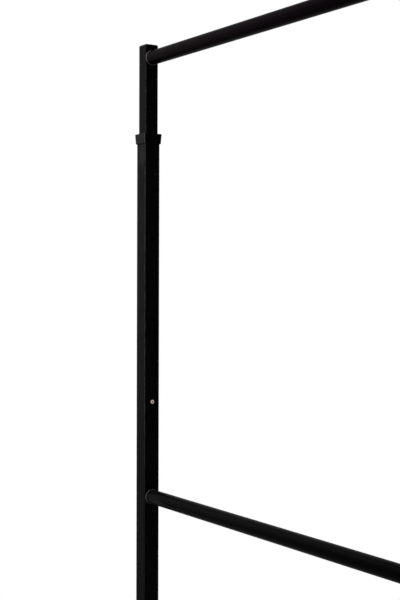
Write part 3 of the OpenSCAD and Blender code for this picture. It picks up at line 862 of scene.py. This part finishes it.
def strip_rings(path, width, thickness, end_radius):
    """A flat strip swept along a path in the XZ plane: at each point a rectangle lies across the
    path, as wide in Y as the strip. Towards both ends the width follows a circle's quarter, so
    that the ends are rounded."""
    step = np.gradient(path, axis=0)
    step /= np.linalg.norm(step, axis=1)[:, None]
    normal = np.stack((-step[:, 1], step[:, 0]), axis=1)
    length = np.concatenate(([0], np.cumsum(np.linalg.norm(np.diff(path, axis=0), axis=1))))
    from_end = np.clip(np.minimum(length, length[-1] - length), 0, end_radius)
    arc = np.sqrt(np.maximum(end_radius ** 2 - (end_radius - from_end) ** 2, 0))
    half = width / 2 - end_radius + arc
    section = np.array([(1, 1), (-1, 1), (-1, -1), (1, -1)])
    across = section[:, 0] * half[:, None]
    out = section[:, 1] * thickness / 2
    x = path[:, :1] + normal[:, :1] * out
    z = path[:, 1:] + normal[:, 1:] * out
    return np.stack((x, across, z), axis=-1)


class KIMONO_OT_fold_springs(Operator):
    """Folds the spring strips that press the snap buttons out, and finishes the buttons"""

    bl_idname = "kimono_stand.fold_springs"
    bl_label = "Fold the springs"

    def execute(self, context):
        shape, finish = context.scene.kimono_shape, context.scene.kimono_finish
        steel = strip_steel(finish)
        low, high = node_box("left_button_spring")
        button_low, button_high = node_box("left_button")
        half = shape.strip_thickness / 2
        front, back = high[0] - POST_X - half, low[0] - POST_X + half
        path = hairpin_path(shape, front, back, button_high[2], button_low[2], low[2])
        rings = strip_rings(path, high[1] - low[1], shape.strip_thickness, shape.strip_end)
        strip = [closed_shell(rings)]
        for side in SIDES:
            spring = make_piece(f"{side}_hairpin_spring", shells_on_side(strip, side), steel,
                                "upper_frame", f"{side}_button_spring")
            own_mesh(spring)
            finish_nodes(turned_steel(finish, side), f"{side}_button")
        return {"FINISHED"}


def bolt_rings(radius, length, head_radius, head_height, pitch, socket):
    """A button-head bolt along Z, head upwards, with the head's underside at 0. The thread's
    radius is a triangle wave of height over pitch less angle over a full turn, the head is part
    of a sphere, and a hexagon sinks into its top."""
    a = directions(TURNED_SIDES)
    root = radius - 0.6 * pitch
    thread_top = -length + min(0.6 * length, 20 * MM)
    z = np.arange(-length + 0.4 * pitch, thread_top, pitch / 8)
    wave = np.abs((z[:, None] / pitch - a / (2 * np.pi)) % 1 - 0.5) * 2
    lead = np.clip((z + length) / pitch - 0.4, 0, 1) * np.clip((thread_top - z) / pitch, 0, 1)
    thread = root + (radius - root) * np.clip(1.3 * wave - 0.15, 0, 1) * lead[:, None]
    plain = radius - 0.05 * MM
    sphere = (head_radius ** 2 + head_height ** 2) / (2 * head_height)
    dome = np.linspace(head_radius, 0.62 * socket, 9)
    dome_z = np.sqrt(sphere ** 2 - dome ** 2) - sphere + head_height
    hexes = hexagon(socket)
    floor = 0.42 * head_height
    rows = [
        (0.7 * root, -length), (root, -length + 0.25 * pitch), *zip(thread, z),
        (root, thread_top), (plain, thread_top + 0.3 * pitch), (plain, 0), *zip(dome, dome_z),
        (hexes, dome_z[-1] - 0.25 * MM), (hexes, floor),
        (0.9 * hexes, floor - 0.1 * MM), (0.2 * hexes, floor - 0.5 * MM),
    ]
    return round_rings(rows, TURNED_SIDES)


def washer_rings(inner, outer, thickness):
    """A flat washer: a rectangle with slightly rounded corners carried round the Z axis."""
    edge = 0.15 * thickness
    corners = [(inner, 0, edge), (outer, 0, edge), (outer, thickness, edge), (inner, thickness, edge)]
    return round_rings(outline(corners, closed=True, steps=3), TURNED_SIDES)


def nut_rings(bore, flats, thickness):
    """A hexagon nut: outside, its radius is the smaller of the hexagon's and of a cone that cuts
    the corners at 30 degrees towards both faces; inside, a chamfered bore."""
    z = np.concatenate((np.linspace(0, 0.25, 5), np.linspace(0.75, 1, 5))) * thickness
    to_face = np.minimum(z, thickness - z)[:, None]
    outside = np.minimum(hexagon(flats), 0.98 * flats / 2 + to_face * math.sqrt(3))
    chamfer = 0.1 * thickness
    inside = [(bore + chamfer, thickness), (bore, thickness - chamfer),
              (bore, chamfer), (bore + chamfer, 0)]
    return round_rings([*zip(outside, z), *inside], TURNED_SIDES)


def pair_at(rings, axis, x, z, loop=False):
    """A fastener at each upright, from rings that start at x and z at the left one."""
    shells = [closed_shell(along(rings, axis, (x - POST_X, 0, z)), loop)]
    return shells_on_side(shells, "left") + shells_on_side(shells, "right")


def bolt_pair(name, radius, socket, pitch):
    """Both bolts or screws of a node, each along X with its head outwards."""
    low, high = left_box(name)
    seat = left_box(name.replace("bolts", "washers").replace("screws", "washers"))[0][0]
    rings = bolt_rings(radius, high[0] - seat, (high[2] - low[2]) / 2, seat - low[0], pitch, socket)
    return pair_at(rings, "-X", seat, (low[2] + high[2]) / 2)


def ring_pair(name, make):
    """Both washers or nuts of a node, each with its axis along X. make gives the rings from the
    outer radius and the thickness."""
    low, high = left_box(name)
    rings = make((high[2] - low[2]) / 2, high[0] - low[0])
    return pair_at(rings, "+X", low[0], (low[2] + high[2]) / 2, loop=True)


class KIMONO_OT_turn_fasteners(Operator):
    """Turns and plates the bolts, screws, washers and nuts"""

    bl_idname = "kimono_stand.turn_fasteners"
    bl_label = "Turn the fasteners"

    def execute(self, context):
        zinc = zinc_plate(context.scene.kimono_finish)
        # Place, kind and body, then the thread's radius, the socket's width and the pitch.
        groups = (
            ("lower_bar", "bolts", "lower_frame", 4 * MM, 5 * MM, 1.25 * MM),
            ("top_bar", "bolts", "upper_frame", 4 * MM, 5 * MM, 1.25 * MM),
            ("foot", "screws", "lower_frame", 3 * MM, 4 * MM, 1.0 * MM),
        )
        for place, kind, body, radius, socket, pitch in groups:
            name = f"{place}_{kind}"
            make_piece(f"{place}_threaded_{kind}", bolt_pair(name, radius, socket, pitch), zinc,
                       body, name)
            bore = radius + 0.3 * MM
            washers = ring_pair(f"{place}_washers", lambda r, t, bore=bore: washer_rings(bore, r, t))
            make_piece(f"{place}_flat_washers", washers, zinc, body, f"{place}_washers")
        nuts = ring_pair("foot_nuts", lambda _, t: nut_rings(NUT_BORE, NUT_FLATS, t))
        make_piece("foot_hex_nuts", nuts, zinc, "lower_frame", "foot_nuts")
        return {"FINISHED"}


class KIMONO_OT_set_stage(Operator):
    """Sets up the floor, the backdrop, the lamps and the camera"""

    bl_idname = "kimono_stand.set_stage"
    bl_label = "Set the stage"

    def execute(self, context):
        stage = context.scene.kimono_stage
        pale_floor(stage)
        backdrop(context.scene, stage)
        soft_box("side_light", (-2.2, -0.85, 1.55), (0.8, 1.9), stage.side_power)
        soft_box("key_light", (-1.0, -1.3, 2.7), (1.0, 1.0), stage.key_power)
        soft_box("back_light", (-1.6, 2.8, 1.3), (1.2, 2.4), stage.back_power)
        place_camera(context.scene, stage)
        context.scene.view_settings.view_transform = "Standard"
        return {"FINISHED"}


def backdrop(scene, stage):
    """A white backdrop that the camera sees all round, over a dim, even room light."""
    scene.world = bpy.data.worlds.new("studio")
    studio = Shading(scene.world)
    studio.tree.nodes.clear()
    room, white = (
        studio.node("ShaderNodeBackground", Color=(1, 1, 1), Strength=strength).outputs[0]
        for strength in (stage.ambient, 1.0))
    mix = studio.mix_shaders(studio.seen_directly(), room, white)
    studio.node("ShaderNodeOutputWorld", Surface=mix)


def pale_floor(stage):
    """A round pale floor that keeps the stand's shadow and turns into the white backdrop further
    out: rings of growing radius round the origin."""
    rings = round_rings(
        [(r, 0.0) for r in np.linspace(0.05, stage.floor_radius, FLOOR_RINGS)], FLOOR_SPOKES)
    faces = grid_faces(FLOOR_RINGS, FLOOR_SPOKES, loop=False)[:, ::-1].tolist()
    faces.append(list(range(FLOOR_SPOKES)))
    mesh = bpy.data.meshes.new("floor")
    mesh.from_pydata(rings.reshape(-1, 3).tolist(), [], faces)
    floor = bpy.data.objects.new("floor", mesh)
    bpy.context.scene.collection.objects.link(floor)
    paper = Finish("floor_paper")
    seen = paper.seen_directly()
    glow = paper.maths("MULTIPLY", seen, stage.floor_glow)
    paper.fill(
        paper.shader, Base_Color=stage.floor_colour, Roughness=0.9, Specular_IOR_Level=0.0,
        Emission_Color=(1, 1, 1), Emission_Strength=glow)
    far = paper.ranged(paper.distance(paper.place), stage.floor_fade_from, stage.floor_fade_to)
    mix = paper.mix_shaders(
        paper.maths("MULTIPLY", far, seen), paper.shader.outputs[0],
        paper.node("ShaderNodeEmission").outputs[0])
    paper.fill(paper.tree.nodes["Material Output"], Surface=mix)
    mesh.materials.append(paper.material)


def soft_box(name, place, size, power):
    """A soft box, width by height, that looks at the left upright."""
    lamp = bpy.data.lights.new(name, "AREA")
    lamp.shape = "RECTANGLE"
    lamp.size, lamp.size_y = size
    lamp.energy = power
    box = bpy.data.objects.new(name, lamp)
    box.location = place
    box.rotation_euler = (LAMP_AIM - Vector(place)).to_track_quat("-Z", "Y").to_euler()
    box.visible_camera = False
    bpy.context.scene.collection.objects.link(box)


def place_camera(scene, stage):
    """The camera looks from -X towards +Y by its yaw, down by its pitch and leans by its roll."""
    yaw, pitch, roll = stage.camera_yaw, stage.camera_pitch, stage.camera_roll
    level = math.cos(pitch)
    ahead = Vector((-math.cos(yaw) * level, math.sin(yaw) * level, -math.sin(pitch)))
    level_right = ahead.cross(Vector((0, 0, 1))).normalized()
    level_up = level_right.cross(ahead)
    right = math.cos(roll) * level_right + math.sin(roll) * level_up
    up = math.cos(roll) * level_up - math.sin(roll) * level_right
    camera = bpy.data.objects.new("camera", bpy.data.cameras.new("camera"))
    camera.data.lens = stage.camera_lens
    turn = Matrix((right, up, -ahead)).transposed().to_4x4()
    camera.matrix_world = Matrix.Translation(stage.camera_place) @ turn
    scene.collection.objects.link(camera)
    scene.camera = camera


class KIMONO_PT_stand(Panel):
    """Lists the steps and settings of the stand"""

    bl_label = "Kimono Stand"
    bl_idname = "KIMONO_PT_stand"
    bl_space_type = "VIEW_3D"
    bl_region_type = "UI"
    bl_category = "Kimono Stand"

    def draw(self, context):
        for name, group in GROUPS.items():
            box = self.layout.box()
            for key in group.__annotations__:
                box.prop(getattr(context.scene, name), key)
        for step in STEPS:
            self.layout.operator(step.bl_idname)


STEPS = (
    KIMONO_OT_coat_tubes, KIMONO_OT_mould_collars, KIMONO_OT_mould_caps, KIMONO_OT_mould_glides,
    KIMONO_OT_fold_springs, KIMONO_OT_turn_fasteners, KIMONO_OT_set_stage,
)
GROUPS = {
    "kimono_finish": FinishSettings, "kimono_shape": ShapeSettings, "kimono_stage": StageSettings,
}
CLASSES = (*GROUPS.values(), *STEPS, KIMONO_PT_stand)


def register():
    """Registers the classes and gives every scene the three groups of settings."""
    for cls in CLASSES:
        bpy.utils.register_class(cls)
    for name, group in GROUPS.items():
        setattr(bpy.types.Scene, name, PointerProperty(type=group))


def unregister():
    """Takes away what register added."""
    for name in GROUPS:
        delattr(bpy.types.Scene, name)
    for cls in reversed(CLASSES):
        bpy.utils.unregister_class(cls)


def main():
    register()
    for step in STEPS:
        getattr(bpy.ops.kimono_stand, step.bl_idname.split(".")[1])()


if __name__ == "__main__":
    main()
